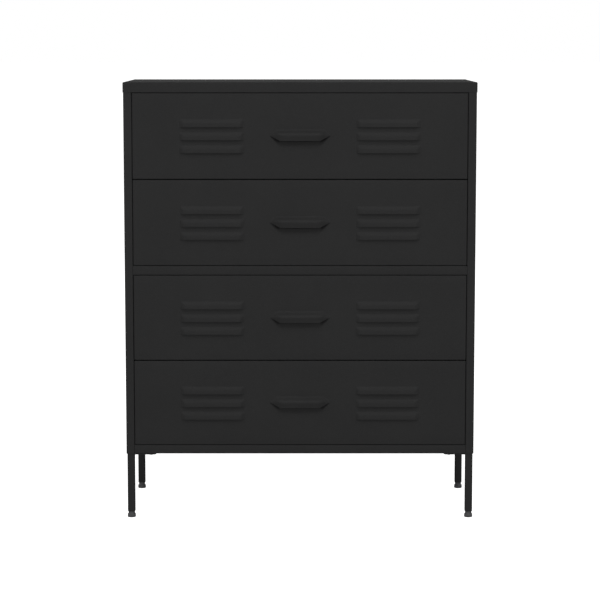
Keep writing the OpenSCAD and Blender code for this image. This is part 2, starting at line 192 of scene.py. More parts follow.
def strip(path, low, high, put, radius, thick=SHEET, inward=1, trim=None):
    """A folded strip as (verts, faces): path is its (u, v) section, and low and high are its ends w.
    put(u, v, w) gives the world point, and trim(point, low) moves a point's low end."""
    points = bend_points(path, radius, inward)
    verts, faces = [], []
    n = len(points)
    for p, normal in points:
        q = p + normal * thick
        start = low if trim is None else trim(p, low)
        verts += [put(p.x, p.y, start), put(p.x, p.y, high), put(q.x, q.y, start), put(q.x, q.y, high)]
    for i in range(n - 1):
        a, b = 4 * i, 4 * (i + 1)
        faces += [[a, b, b + 1, a + 1], [a + 2, a + 3, b + 3, b + 2]]
        faces += [[a, a + 2, b + 2, b], [a + 1, b + 1, b + 3, a + 3]]
    e = 4 * (n - 1)
    faces += [[0, 1, 3, 2], [e, e + 2, e + 3, e + 1]]
    return verts, faces


def plate(low, high):
    """A thin plate or bar between two corners."""
    x0, y0, z0 = low
    x1, y1, z1 = high
    verts = [Vector((x, y, z)) for z in (z0, z1) for y in (y0, y1) for x in (x0, x1)]
    faces = [[0, 2, 3, 1], [4, 5, 7, 6], [0, 1, 5, 4], [2, 6, 7, 3], [0, 4, 6, 2], [1, 3, 7, 5]]
    return verts, faces


def lathe(profile, centre, axis, segments, ripple=None):
    """A solid of revolution about Z or X. profile is (radius, height), either from axis to axis
    or a loop that ends where it starts. ripple(radius, height, turn) gives another radius."""
    verts, faces, rows = [], [], []
    for r, h in profile:
        row = []
        for s in range(segments if r > 1e-7 else 1):
            t = 2 * math.pi * s / segments
            rr = r if ripple is None else ripple(r, h, t)
            p = Vector((rr * math.cos(t), rr * math.sin(t), h))
            if axis == "X":
                p = Vector((p.z, p.x, p.y))
            row.append(len(verts))
            verts.append(Vector(centre) + p)
        rows.append(row)
    for a, b in zip(rows, rows[1:]):
        for s in range(segments):
            t = (s + 1) % segments
            if len(a) == 1 and len(b) == 1:
                break
            if len(a) == 1:
                faces.append([a[0], b[s], b[t]])
            elif len(b) == 1:
                faces.append([a[s], b[0], a[t]])
            else:
                faces.append([a[s], b[s], b[t], a[t]])
    return verts, faces


def rounded_square(half, radius, steps=5):
    points = []
    for cx, cy, start in ((1, 1, 0), (-1, 1, 90), (-1, -1, 180), (1, -1, 270)):
        middle = Vector((cx, cy)) * (half - radius)
        for s in range(steps + 1):
            t = math.radians(start + 90 * s / steps)
            points.append(middle + Vector((math.cos(t), math.sin(t))) * radius)
    return points


def lift(loop, centre, z):
    """A flat loop of points, moved to its centre and up to z."""
    return [Vector((centre[0] + p.x, centre[1] + p.y, z)) for p in loop]


def stack(rings, hollow=False):
    """Joins rings of points in order: a hollow one closes on its first ring, others get end caps."""
    n, count = len(rings[0]), len(rings)
    verts = [p for ring in rings for p in ring]
    faces = []
    for k in range(count if hollow else count - 1):
        a, b = k * n, (k + 1) % count * n
        faces += [[a + i, a + (i + 1) % n, b + (i + 1) % n, b + i] for i in range(n)]
    if not hollow:
        faces.append(list(range(n - 1, -1, -1)))
        faces.append(list(range(len(verts) - n, len(verts))))
    return verts, faces


def hexagon(radius, turn):
    """How far a hexagon's side is from its axis at this turn, with corners at the radius."""
    return radius * math.cos(math.pi / 6) / math.cos(turn % (math.pi / 3) - math.pi / 6)


def mirrored(parts, side):
    """The same parts on the other side of the chest where side is -1."""
    return [([Vector((side * v.x, v.y, v.z)) for v in verts], faces) for verts, faces in parts]


def both_sides(parts):
    return [q for side in SIDES for q in mirrored(parts, side)]


# ---- pressed pans: the lid and the drawer fronts ----

def spread(marks, gap):
    """Marks with extra lines between them, so that no two are further apart than the gap allows."""
    marks = sorted(set(round(m, 7) for m in marks))
    out = []
    for a, b in zip(marks, marks[1:]):
        limit = gap((a + b) / 2)
        n = max(1, math.ceil((b - a) / limit - 1e-6))
        out += [a + (b - a) * i / n for i in range(n)]
    return out + [marks[-1]]


def pan(us, vs, shape, slits, radius, depth, back_radius=None, returns=None):
    """A pan as (verts, faces) in local (u, v, out). shape(u, v, side) moves a lattice point.
    slits is a list of (row, lowest u, highest u); side is +1 above a slit, -1 below and 0 off it."""
    verts, faces = [], []
    nu, nv = len(us), len(vs)
    upper, lower = {}, {}
    cuts = {(row, i) for row, a, b in slits for i in range(nu) if a < us[i] < b}
    for j in range(nv):
        for i in range(nu):
            if (j, i) in cuts:
                upper[i, j] = len(verts)
                verts.append(shape(us[i], vs[j], 1))
                lower[i, j] = len(verts)
                verts.append(shape(us[i], vs[j], -1))
            else:
                upper[i, j] = lower[i, j] = len(verts)
                verts.append(shape(us[i], vs[j], 0))
    for j in range(nv - 1):
        for i in range(nu - 1):
            faces.append([upper[i, j], upper[i + 1, j], lower[i + 1, j + 1], lower[i, j + 1]])
    base = [(upper[i, j], Vector((us[i], vs[j])), Vector(d)) for i, j, d in rim(nu, nv)]
    bend = 6
    rings = []
    for s in range(1, bend + 1):
        t = math.pi / 2 * s / bend
        rings.append((radius * math.sin(t), -radius * (1 - math.cos(t))))
    if back_radius is None:
        rings.append((radius, -depth))
    else:
        rings.append((radius, -depth + back_radius))
        for s in range(1, bend + 1):
            t = math.pi / 2 * s / bend
            rings.append((radius - back_radius * (1 - math.cos(t)),
                          -depth + back_radius * (1 - math.sin(t))))
    previous = [start for start, p, d in base]
    for offset, out in rings:
        row = []
        for start, p, d in base:
            row.append(len(verts))
            q = p + d * offset
            verts.append(Vector((q.x, q.y, out)))
        join(faces, previous, row)
        previous = row
    if returns:
        half_u, half_v = us[-1] + radius, vs[-1] + radius
        row = []
        for i in previous:
            p = verts[i]
            row.append(len(verts))
            verts.append(Vector((p.x * (half_u - returns[0]) / half_u,
                                 p.y * (half_v - returns[1]) / half_v, -depth)))
        join(faces, previous, row)
    return verts, faces


def rim(nu, nv):
    """The lattice's border, counter-clockwise, as (i, j, direction); each corner fans out."""
    fan = 4
    out = []

    def corner(i, j, start):
        for s in range(fan + 1):
            t = math.radians(start + 90 * s / fan)
            out.append((i, j, (math.cos(t), math.sin(t))))

    corner(0, 0, 180)
    out.extend((i, 0, (0, -1)) for i in range(1, nu - 1))
    corner(nu - 1, 0, 270)
    out.extend((nu - 1, j, (1, 0)) for j in range(1, nv - 1))
    corner(nu - 1, nv - 1, 0)
    out.extend((i, nv - 1, (0, 1)) for i in range(nu - 2, 0, -1))
    corner(0, nv - 1, 90)
    out.extend((0, j, (-1, 0)) for j in range(nv - 2, 0, -1))
    return out


def join(faces, first, second):
    n = len(first)
    for s in range(n):
        t = (s + 1) % n
        if first[s] == first[t]:
            faces.append([first[s], second[s], second[t]])
        else:
            faces.append([first[s], second[s], second[t], first[t]])


def pan_object(name, part, world, material, body, nodes):
    """Gives a pan its thickness, inwards, and places it. world turns (u, v, out) into the frame."""
    verts, faces = part
    mesh = mesh_from(name, [world @ v for v in verts], faces)
    obj = new_object(name, mesh)
    solid = obj.modifiers.new("sheet", "SOLIDIFY")
    solid.thickness = SHEET
    solid.offset = -1
    solid.use_even_offset = True
    solid.use_rim = True
    apply_modifiers(obj)
    smooth(obj.data, 38)
    return place(obj, material, body, nodes)


# ---- materials ----

def nodes_for(name):
    material = bpy.data.materials.new(name)
    material.use_nodes = True
    tree = material.node_tree
    shader = tree.nodes["Principled BSDF"]
    return material, tree, shader


def add(tree, kind, **values):
    node = tree.nodes.new(kind)
    for key, value in values.items():
        setattr(node, key, value)
    return node


def noise(tree, place_node, scale, detail=4, roughness=0.55):
    node = add(tree, "ShaderNodeTexNoise")
    node.inputs["Scale"].default_value = scale
    node.inputs["Detail"].default_value = detail
    node.inputs["Roughness"].default_value = roughness
    tree.links.new(place_node.outputs["Object"], node.inputs["Vector"])
    return node


def ramp(tree, source, low, high, first, second):
    node = add(tree, "ShaderNodeMapRange")
    node.inputs["From Min"].default_value = low
    node.inputs["From Max"].default_value = high
    node.inputs["To Min"].default_value = first
    node.inputs["To Max"].default_value = second
    tree.links.new(source, node.inputs["Value"])
    return node.outputs["Result"]


def mix_colour(tree, factor, first, second):
    node = add(tree, "ShaderNodeMix", data_type="RGBA")
    tree.links.new(factor, node.inputs["Factor"])
    for key, value in (("A", first), ("B", second)):
        socket = next(s for s in node.inputs if s.name == key and s.type == "RGBA")
        if isinstance(value, tuple):
            socket.default_value = value + (1.0,)
        else:
            tree.links.new(value, socket)
    return next(s for s in node.outputs if s.type == "RGBA")


def bump(tree, shader, heights):
    """Chains several height textures, each (output, strength, distance), into the shader's normal."""
    last = None
    for height, strength, distance in heights:
        node = add(tree, "ShaderNodeBump")
        node.inputs["Strength"].default_value = strength
        node.inputs["Distance"].default_value = distance
        tree.links.new(height, node.inputs["Height"])
        if last:
            tree.links.new(last, node.inputs["Normal"])
        last = node.outputs["Normal"]
    tree.links.new(last, shader.inputs["Normal"])


def edge_mask(tree, radius, low, high):
    """1 along outer edges, from the difference between the true and the rounded normal."""
    rounded = add(tree, "ShaderNodeBevel", samples=4)
    rounded.inputs["Radius"].default_value = radius
    plain = add(tree, "ShaderNodeNewGeometry")
    dot = add(tree, "ShaderNodeVectorMath", operation="DOT_PRODUCT")
    tree.links.new(rounded.outputs["Normal"], dot.inputs[0])
    tree.links.new(plain.outputs["Normal"], dot.inputs[1])
    return ramp(tree, dot.outputs["Value"], high, low, 0.0, 1.0)


def times(tree, a, b):
    node = add(tree, "ShaderNodeMath", operation="MULTIPLY")
    for socket, value in zip(node.inputs, (a, b)):
        if isinstance(value, float):
            socket.default_value = value
        else:
            tree.links.new(value, socket)
    return node.outputs[0]


def powder_coat():
    """Matt black paint with orange peel, grain, pale and dark flecks, and slightly worn edges."""
    material, tree, shader = nodes_for("black_powder_coat")
    where = add(tree, "ShaderNodeTexCoord")
    cloud = noise(tree, where, 7.0, 5, 0.6)
    fleck = noise(tree, where, 900.0, 2, 0.5)
    peel = noise(tree, where, 420.0, 3, 0.55)
    grain = noise(tree, where, 1900.0, 2, 0.5)
    shade = mix_colour(tree, ramp(tree, cloud.outputs["Fac"], 0.35, 0.65, 0.0, 1.0),
                       (0.0200, 0.0200, 0.0202), (0.0228, 0.0228, 0.0229))
    shade = mix_colour(tree, ramp(tree, fleck.outputs["Fac"], 0.60, 0.74, 0.0, 0.7),
                       shade, (0.038, 0.038, 0.038))
    shade = mix_colour(tree, ramp(tree, grain.outputs["Fac"], 0.40, 0.26, 0.0, 0.6),
                       shade, (0.012, 0.012, 0.012))
    scuff = noise(tree, where, 120.0, 4, 0.7)
    worn = times(tree, edge_mask(tree, 0.9 * MM, 0.80, 0.985),
                 ramp(tree, scuff.outputs["Fac"], 0.42, 0.66, 0.0, 0.55))
    shade = mix_colour(tree, worn, shade, (0.050, 0.050, 0.051))
    tree.links.new(shade, shader.inputs["Base Color"])
    tree.links.new(ramp(tree, cloud.outputs["Fac"], 0.3, 0.7, 0.56, 0.64), shader.inputs["Roughness"])
    shader.inputs["Specular IOR Level"].default_value = 0.14
    bump(tree, shader, [(peel.outputs["Fac"], 0.45, 0.0004), (grain.outputs["Fac"], 0.40, 0.0002)])
    return material


def zinc():
    material, tree, shader = nodes_for("zinc_steel")
    where = add(tree, "ShaderNodeTexCoord")
    cloud = noise(tree, where, 40.0, 3, 0.5)
    spangle = add(tree, "ShaderNodeTexVoronoi")
    spangle.inputs["Scale"].default_value = 260.0
    tree.links.new(where.outputs["Object"], spangle.inputs["Vector"])
    scratch = noise(tree, where, 700.0, 3, 0.6)
    shade = mix_colour(tree, ramp(tree, cloud.outputs["Fac"], 0.35, 0.65, 0.0, 1.0),
                       (0.47, 0.48, 0.50), (0.55, 0.56, 0.57))
    worn = times(tree, edge_mask(tree, 0.5 * MM, 0.85, 0.985), 0.5)
    shade = mix_colour(tree, worn, shade, (0.72, 0.72, 0.71))
    tree.links.new(shade, shader.inputs["Base Color"])
    shader.inputs["Metallic"].default_value = 1.0
    tree.links.new(ramp(tree, spangle.outputs["Distance"], 0.0, 0.6, 0.34, 0.46),
                   shader.inputs["Roughness"])
    bump(tree, shader, [(scratch.outputs["Fac"], 0.12, 0.0001)])
    return material


def plastic(name, first, second, rough, worn_colour, grain_scale):
    """A moulded plastic: two colours that it varies between, and a paler one for its edges."""
    material, tree, shader = nodes_for(name)
    where = add(tree, "ShaderNodeTexCoord")
    cloud = noise(tree, where, 60.0, 4, 0.6)
    grain = noise(tree, where, grain_scale, 2, 0.5)
    shade = mix_colour(tree, ramp(tree, cloud.outputs["Fac"], 0.35, 0.65, 0.0, 1.0), first, second)
    worn = times(tree, edge_mask(tree, 0.5 * MM, 0.85, 0.985), 0.4)
    shade = mix_colour(tree, worn, shade, worn_colour)
    tree.links.new(shade, shader.inputs["Base Color"])
    tree.links.new(ramp(tree, cloud.outputs["Fac"], 0.3, 0.7, rough - 0.04, rough + 0.05),
                   shader.inputs["Roughness"])
    shader.inputs["Specular IOR Level"].default_value = 0.4
    bump(tree, shader, [(grain.outputs["Fac"], 0.15, 0.0001)])
    return material


def nylon():
    material = plastic("white_nylon", (0.70, 0.69, 0.65), (0.76, 0.75, 0.71), 0.38,
                       (0.80, 0.79, 0.76), 1500.0)
    shader = material.node_tree.nodes["Principled BSDF"]
    shader.inputs["Subsurface Weight"].default_value = 0.12
    shader.inputs["Subsurface Radius"].default_value = (0.002, 0.002, 0.0018)
    shader.inputs["Subsurface Scale"].default_value = 1.0
    return material


BLACK = powder_coat()
ZINC = zinc()
FOOT_GREY = plastic("grey_foot_plastic", (0.060, 0.060, 0.062), (0.075, 0.075, 0.077), 0.5,
                    (0.12, 0.12, 0.12), 1800.0)
INSERT_BLACK = plastic("black_insert_plastic", (0.010, 0.010, 0.010), (0.014, 0.014, 0.014), 0.45,
                       (0.03, 0.03, 0.03), 1800.0)
NYLON = nylon()

# ---- where things are ----

LID_LOW, LID_HIGH = corners("lid")
BODY_LOW, BODY_HIGH = corners("side_panel_right")
FLOOR_LOW, FLOOR_HIGH = corners("bottom_panel")
FACE_Y = BODY_LOW.y
LIP_X = BODY_LOW.x
BODY_X = BODY_HIGH.x
PANEL_BACK = BODY_HIGH.y
BOX_X = corners("drawer_side_right_1")[1].x
POST_LIP = 40 * MM
SEAM = 0.9 * MM
LEG_WIDTH = 17 * MM
LEG_PLATE = 2.5 * MM
TRACK_RISE = 30 * MM
RUNNER_SHEET = 1.2 * MM
ROLLER_WIDTH = 8.2 * MM
FRONT_ROLLER_Y, REAR_ROLLER_Y = -119 * MM, 140 * MM


# ---- cabinet ----

def lid():
    radius = 2.2 * MM
    us = spread([LID_LOW.x + radius, LID_HIGH.x - radius], lambda m: 0.1)
    half_v = (LID_HIGH.y - LID_LOW.y) / 2
    vs = spread([-half_v + radius, half_v - radius], lambda m: 0.1)
    flat = lambda u, v, side: Vector((u, v, 0))
    part = pan(us, vs, flat, [], radius, LID_HIGH.z - LID_LOW.z)
    world = Matrix.Translation((0, (LID_HIGH.y + LID_LOW.y) / 2, LID_HIGH.z))
    pan_object("lid_shell", part, world, BLACK, "cabinet", ["lid"])
    edge = plate((-LIP_X, LID_LOW.y + 0.5 * MM, LID_LOW.z), (LIP_X, FACE_Y + 12 * MM, LID_LOW.z + SHEET))
    micro_bevel(piece("lid_front_return", [edge], BLACK, "cabinet", []))


def side_panel(side):
    name = "left" if side < 0 else "right"
    node = f"side_panel_{name}"
    low, high = corners(node)
    path = [
        (LIP_X, FACE_Y + POST_LIP), (LIP_X, FACE_Y), (BODY_X, FACE_Y),
        (BODY_X, PANEL_BACK), (LIP_X, PANEL_BACK), (LIP_X, PANEL_BACK - POST_LIP)]
    parts = mirrored([strip(path, low.z, high.z, along_z, 2.0 * MM)], side)
    micro_bevel(piece(f"{node}_folded", parts, BLACK, "cabinet", [node]))


def bottom_panel():
    z0, top = FLOOR_LOW.z, FLOOR_HIGH.z
    path = [(FLOOR_HIGH.y, z0), (FACE_Y, z0), (FACE_Y, top), (FACE_Y + 14 * MM, top)]
    parts = [strip(path, -LIP_X, LIP_X, along_x, 1.8 * MM, inward=-1)]
    for side in SIDES:
        x0, x1 = sorted((side * LIP_X, side * FLOOR_HIGH.x))
        parts.append(plate((x0, FACE_Y, z0), (x1, FLOOR_HIGH.y, z0 + SHEET)))
    micro_bevel(piece("bottom_panel_folded", parts, BLACK, "cabinet", ["bottom_panel"]))


def middle_rail():
    low, high = corners("middle_rail")
    path = [(high.y, low.z), (low.y, low.z), (low.y, high.z), (high.y, high.z)]
    parts = [strip(path, low.x, high.x, along_x, 1.8 * MM, inward=-1)]
    for side in SIDES:
        x0, x1 = sorted((side * high.x, side * (high.x - SHEET)))
        parts.append(plate((x0, low.y + 2 * MM, low.z + SHEET), (x1, high.y, high.z - SHEET)))
    micro_bevel(piece("middle_rail_folded", parts, BLACK, "cabinet", ["middle_rail"]))


# ---- legs and feet ----

def square_tube(centre, half, wall, z0, z1):
    outer = rounded_square(half, 2.6 * MM)
    inner = rounded_square(half - wall, 1.4 * MM)
    rows = [(outer, z0), (outer, z1), (inner, z1), (inner, z0)]
    return stack([lift(loop, centre, z) for loop, z in rows], hollow=True)


def rounded_plate(centre, half, z0, z1):
    radius, lip = 4 * MM, 0.35 * MM
    rows = [(half - lip, radius - lip, z0), (half, radius, z0 + lip),
            (half, radius, z1 - lip), (half - lip, radius - lip, z1)]
    return stack([lift(rounded_square(h, r, 6), centre, z) for h, r, z in rows])


def weld_bead(centre, sx, sy, half, z):
    """The fillet weld on a tube's two inner sides, round the corner between them, with its ripples.
    Its section starts and ends a little inside the tube and the plate."""
    path = []
    steps, inset, turn, bend = 34, 1.5 * MM, 2.0 * MM, 2.4 * MM
    x0, y0 = centre.x + sx * (half - inset), centre.y + sy * (half - inset)
    x1, y1 = centre.x - sx * half, centre.y - sy * half
    for i in range(steps + 1):
        y = y0 + (y1 + sy * turn - y0) * i / steps
        path.append((Vector((x1, y)), Vector((-sx, 0))))
    for i in range(1, 7):
        t = math.pi / 2 * i / 7
        n = Vector((-sx * math.cos(t), -sy * math.sin(t)))
        c = Vector((x1 + sx * bend, y1 + sy * bend))
        path.append((c + n * bend, n))
    for i in range(steps + 1):
        x = x1 + sx * turn + (x0 - x1 - sx * turn) * i / steps
        path.append((Vector((x, y1)), Vector((0, -sy))))
    verts, faces = [], []
    m, sink = 6, 0.3 * MM
    last = len(path) - 1
    for k, (p, n) in enumerate(path):
        size = (2.0 + 0.22 * math.sin(k * 1.9) + 0.12 * math.sin(k * 0.7)) * MM
        size *= min(1.0, 0.25 + k / 4, 0.25 + (last - k) / 4)
        for s in range(m):
            t = math.pi / 2 * s / (m - 1)
            bulge = 1 - 0.25 * math.sin(2 * t)
            q = p + n * (size * math.sin(t) * bulge - sink)
            verts.append(Vector((q.x, q.y, z - size * math.cos(t) * bulge + sink)))
    for k in range(last):
        for s in range(m - 1):
            a = k * m + s
            faces.append([a, a + 1, a + m + 1, a + m])
        faces.append([k * m + m - 1, k * m, k * m + m, k * m + 2 * m - 1])
    faces.append(list(range(m)))
    faces.append([last * m + s for s in range(m)][::-1])
    return verts, faces


def leg_centre(corner):
    """The middle of a leg's tube, which stands flush in the outer corner of its plate."""
    sx, sy = CORNERS[corner]
    low, high = corners(f"leg_{corner}")
    outer = Vector((high.x if sx > 0 else low.x, high.y if sy > 0 else low.y))
    return outer - Vector((sx, sy)) * LEG_WIDTH / 2


def leg(corner):
    sx, sy = CORNERS[corner]
    node = f"leg_{corner}"
    low, high = corners(node)
    centre = leg_centre(corner)
    plate_z = high.z - LEG_PLATE
    parts = [
        square_tube(centre, LEG_WIDTH / 2, 1.2 * MM, low.z, plate_z + 0.3 * MM),
        rounded_plate((low + high) / 2, (high.x - low.x) / 2, plate_z, high.z),
        weld_bead(centre, sx, sy, LEG_WIDTH / 2, plate_z)]
    piece(f"{node}_welded", parts, BLACK, "cabinet", [node], degrees=40)


def foot(corner):
    node = f"foot_{corner}"
    low, high = corners(node)
    centre = ((low.x + high.x) / 2, (low.y + high.y) / 2, 0)
    r = (high.x - low.x) / 2
    disc, neck, socket = 8.7 * MM, 7.5 * MM, 4.02 * MM
    z0, top = low.z, high.z
    profile = [
        (0, z0 + 0.6 * MM), (5.5 * MM, z0 + 0.6 * MM), (6.2 * MM, z0), (r - 1.2 * MM, z0),
        (r - 0.5 * MM, z0 + 0.25 * MM), (r - 0.12 * MM, z0 + 0.7 * MM), (r, z0 + 1.4 * MM),
        (r, z0 + disc - 2.0 * MM), (r - 0.2 * MM, z0 + disc - 1.2 * MM),
        (r - 0.8 * MM, z0 + disc - 0.35 * MM), (neck + 0.5 * MM, z0 + disc),
        (neck, z0 + disc + 0.5 * MM), (neck, top - 0.6 * MM), (neck - 0.5 * MM, top),
        (socket + 0.4 * MM, top), (socket, top - 0.4 * MM), (socket, z0 + 5 * MM), (0, z0 + 5 * MM)]

    def grip(radius, height, turn):
        if radius < r - 0.25 * MM or not z0 + 0.5 * MM < height < z0 + disc:
            return radius
        return radius - 0.3 * MM * max(0.0, math.cos(24 * turn)) ** 2

    part = lathe(profile, centre, "Z", 120, grip)
    piece(f"{node}_moulded", [part], FOOT_GREY, f"foot_{corner}", [node], degrees=30)


def thread(centre, minor, major, z0, z1, pitch):
    """A threaded rod: crests and roots on one long helix, closed at both ends."""
    segments, per_turn = 28, 4
    spokes = [math.pi * 2 * s / segments for s in range(segments)]
    end = [Vector((math.cos(t), math.sin(t))) * minor * 0.94 for t in spokes]
    length = z1 - z0 - 2 * pitch
    count = int(length / pitch * per_turn)
    rings = [lift(end, centre, z0)]
    for k in range(count + 1):
        loop = []
        for s, t in enumerate(spokes):
            phase = (k / per_turn - s / segments) % 1.0
            crest = max(0.0, 1 - abs(phase - 0.5) * 3.2)
            r = minor + (major - minor) * min(1.0, crest * 1.3)
            loop.append(Vector((r * math.cos(t), r * math.sin(t))))
        rings.append(lift(loop, centre, z0 + pitch + length * k / count))
    rings.append(lift(end, centre, z1))
    return stack(rings)


def foot_stem(corner):
    node = f"foot_stem_{corner}"
    low, high = corners(node)
    centre = (low + high) / 2
    r = (high.x - low.x) / 2
    part = thread(centre, r - 0.62 * MM, r, low.z, high.z, 1.25 * MM)
    piece(f"{node}_threaded", [part], ZINC, f"foot_{corner}", [node], degrees=50)


# ---- drawer fronts ----

LOUVRE = {"half": 73 * MM, "rise": 8.6 * MM, "out": 4.6 * MM, "bend": 0.9 * MM, "lean": 0.5 * MM,
          "end": 9 * MM, "x": 200 * MM, "pitch": 29.3 * MM}
PULL = {"drop": 93 * MM, "out": 12 * MM, "rise": 8.5 * MM, "skirt": 16 * MM, "lean": 3.5 * MM,
        "top": 54 * MM, "lip": 47 * MM, "edge": 45 * MM, "tip": 69 * MM, "tip_v": -4 * MM,
        "behind": 50 * MM, "above": 13 * MM, "below": 38 * MM}
DISH = {"high": 34 * MM, "flat": 17 * MM, "deep": 3 * MM, "half": 48 * MM, "low_half": 43.5 * MM}
POCKET = {"high": 20 * MM, "flat": 9 * MM, "deep": 11 * MM, "half": 47 * MM, "low_half": 52 * MM}


def louvre_out(u, v):
    """How far a louvre stands out at u from its middle and v above it."""
    g = LOUVRE
    slope = (g["rise"] - v) * (g["out"] - g["lean"]) / (g["rise"] - g["bend"])
    front = g["out"] - g["lean"] + (g["bend"] - v) * g["lean"] / (g["rise"] + g["bend"]) + 0.15 * MM
    end = (g["half"] - abs(u)) * g["out"] / g["end"]
    h = soft_min(soft_min(slope, front, 1.4 * MM), end, 1.6 * MM)
    return max(0.0, soft_max(h, 0.0, 0.5 * MM) - 0.03 * MM)


def plane(anchor, first, second):
    """Slopes (a, b) of h = a * (tip - u) + b * (v - tip_v) through two (u, v, h) points."""
    tip, tip_v = anchor
    u1, v1, h1 = tip - first[0], first[1] - tip_v, first[2]
    u2, v2, h2 = tip - second[0], second[1] - tip_v, second[2]
    det = u1 * v2 - u2 * v1
    return (h1 * v2 - h2 * v1) / det, (u1 * h2 - u2 * h1) / det


def hood_out(u, v):
    """How far the hood stands out, v above its lip."""
    g = PULL
    u = abs(u)
    tip = (g["tip"], g["tip_v"])
    slope = (g["rise"] - v) * g["out"] / g["rise"]
    skirt = g["out"] + v * g["lean"] / g["skirt"] + 0.9 * MM
    lip = (g["lip"], 0.0, g["out"])
    a, b = plane(tip, (g["top"], g["rise"], 0.0), lip)
    above = a * (g["tip"] - u) + b * (v - g["tip_v"])
    a, b = plane(tip, lip, (g["edge"], -g["skirt"], g["out"] - g["lean"]))
    below = a * (g["tip"] - u) + b * (v - g["tip_v"]) + 0.2 * MM
    h = soft_min(slope, skirt, 6.5 * MM)
    h = soft_min(h, soft_min(above, below, 2.0 * MM), 3.0 * MM)
    return max(0.0, soft_max(h, 0.0, 1.0 * MM) - 0.05 * MM)


def scoop_in(u, v):
    """How far the dish and the pocket behind the hood are pressed in, v above the lip."""
    u = abs(u)
    deepest = 0.0
    for g, k in ((DISH, 1.6 * MM), (POCKET, 3.0 * MM)):
        floor = min(g["deep"], (g["high"] + v) * g["deep"] / (g["high"] - g["flat"]))
        low, flat = (g["low_half"], -g["high"], 0.0), (g["half"], -g["flat"], g["deep"])
        a, b = plane((PULL["tip"], PULL["tip_v"]), low, flat)
        side = a * (PULL["tip"] - u) + b * (v - PULL["tip_v"])
        h = soft_min(soft_min(floor, g["deep"], k), side, k)
        deepest = soft_max(deepest, h, 1.6 * MM)
    return max(0.0, deepest - 0.35 * MM)


def skirt_edge(u):
    """Height of the hood's free edge, relative to the lip."""
    g = PULL
    t = min(1.0, (g["tip"] - min(abs(u), g["tip"])) / (g["tip"] - g["edge"]))
    return g["tip_v"] + (-g["skirt"] - g["tip_v"]) * t


def scoop_edge(u):
    """Height of the scoop's top edge, behind the hood and relative to the lip."""
    g = PULL
    t = min(1.0, (g["tip"] - min(abs(u), g["tip"])) / (g["tip"] - g["behind"]))
    return g["tip_v"] * (1 - t)


def front_lattice(half_u, half_v, lip_v):
    g, p = LOUVRE, PULL
    marks = [-half_u, half_u]
    for side in SIDES:
        for end in SIDES:
            tip = side * g["x"] + end * g["half"]
            marks += [tip + end * 1.5 * MM, tip, tip - end * 13 * MM]
        marks += [side * m for m in (p["tip"] + 4 * MM, p["tip"], 36 * MM)]

    def gap_u(m):
        m = abs(m)
        if 36 * MM < m < p["tip"] + 4 * MM:
            return 1.5 * MM
        if m < 36 * MM:
            return 9 * MM
        if abs(abs(m - g["x"]) - g["half"] + 6 * MM) < 7.5 * MM:
            return 1.25 * MM
        return 14 * MM if abs(m - g["x"]) < g["half"] else 20 * MM

    rows = [-half_v, half_v]
    for step in (-1, 0, 1):
        centre = step * g["pitch"]
        rows += [centre - g["rise"], centre + g["rise"], centre + g["rise"] + 1.2 * MM]
    rows += [lip_v + p["tip_v"], lip_v + p["above"], lip_v - p["below"]]
    zone = g["pitch"] + g["rise"] + 1.5 * MM
    gap_v = lambda m: 1.2 * MM if abs(m) < zone else 20 * MM
    return spread(marks, gap_u), spread(rows, gap_v)


def front_shape(lip_v):
    g, p = LOUVRE, PULL
    top, low, tip = p["above"], -p["below"], p["tip_v"]

    def shape(u, v, side):
        w = v - lip_v
        if abs(u) <= p["tip"] + 4 * MM and low < w < top:
            if w > tip + 1e-6 or side > 0:
                w = top - (top - w) * (top - skirt_edge(u)) / (top - tip)
                return Vector((u, lip_v + w, hood_out(u, w)))
            w = low + (w - low) * (scoop_edge(u) - low) / (tip - low)
            return Vector((u, lip_v + w, -scoop_in(u, w)))
        for step in (-1, 0, 1):
            w = v - step * g["pitch"]
            near = abs(abs(u) - g["x"])
            if near <= g["half"] and -g["rise"] - 1e-6 <= w <= g["rise"] + 1.3 * MM:
                if w < -g["rise"] + 1e-6 and side <= 0:
                    continue
                return Vector((u, v, louvre_out(near, w)))
        return Vector((u, v, 0))

    return shape


def drawer_front(k):
    g, p = LOUVRE, PULL
    node = f"drawer_front_{k}"
    low, high = corners(node)
    radius = 1.9 * MM
    middle = (low.z + high.z) / 2
    half_u = high.x - radius
    half_v = (high.z - low.z) / 2 - radius
    lip_v = high.z + SEAM - p["drop"] - middle
    us, vs = front_lattice(half_u, half_v, lip_v)
    slits = [(vs.index(nearest(vs, lip_v + p["tip_v"])), -p["tip"] + 1e-5, p["tip"] - 1e-5)]
    for step in (-1, 0, 1):
        row = vs.index(nearest(vs, step * g["pitch"] - g["rise"]))
        for side in SIDES:
            reach = g["half"] - 1.2 * MM
            slits.append((row, side * g["x"] - reach, side * g["x"] + reach))
    depth, hems = high.y - FACE_Y, (25 * MM, 12 * MM)
    part = pan(us, vs, front_shape(lip_v), slits, radius, depth, 1.7 * MM, hems)
    world = Matrix(((1, 0, 0, 0), (0, 0, -1, FACE_Y), (0, 1, 0, middle), (0, 0, 0, 1)))
    pan_object(f"{node}_pressed", part, world, BLACK, f"drawer_{k}", [node])


def nearest(values, target):
    return min(values, key=lambda value: abs(value - target))


# ---- drawer boxes ----

def base_z(k):
    """The foot of drawer k's bay."""
    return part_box(f"drawer_front_{k}")[0].z - SEAM


def track_z(k):
    """The height of the track that drawer k's rear rollers run on."""
    return base_z(k) + TRACK_RISE


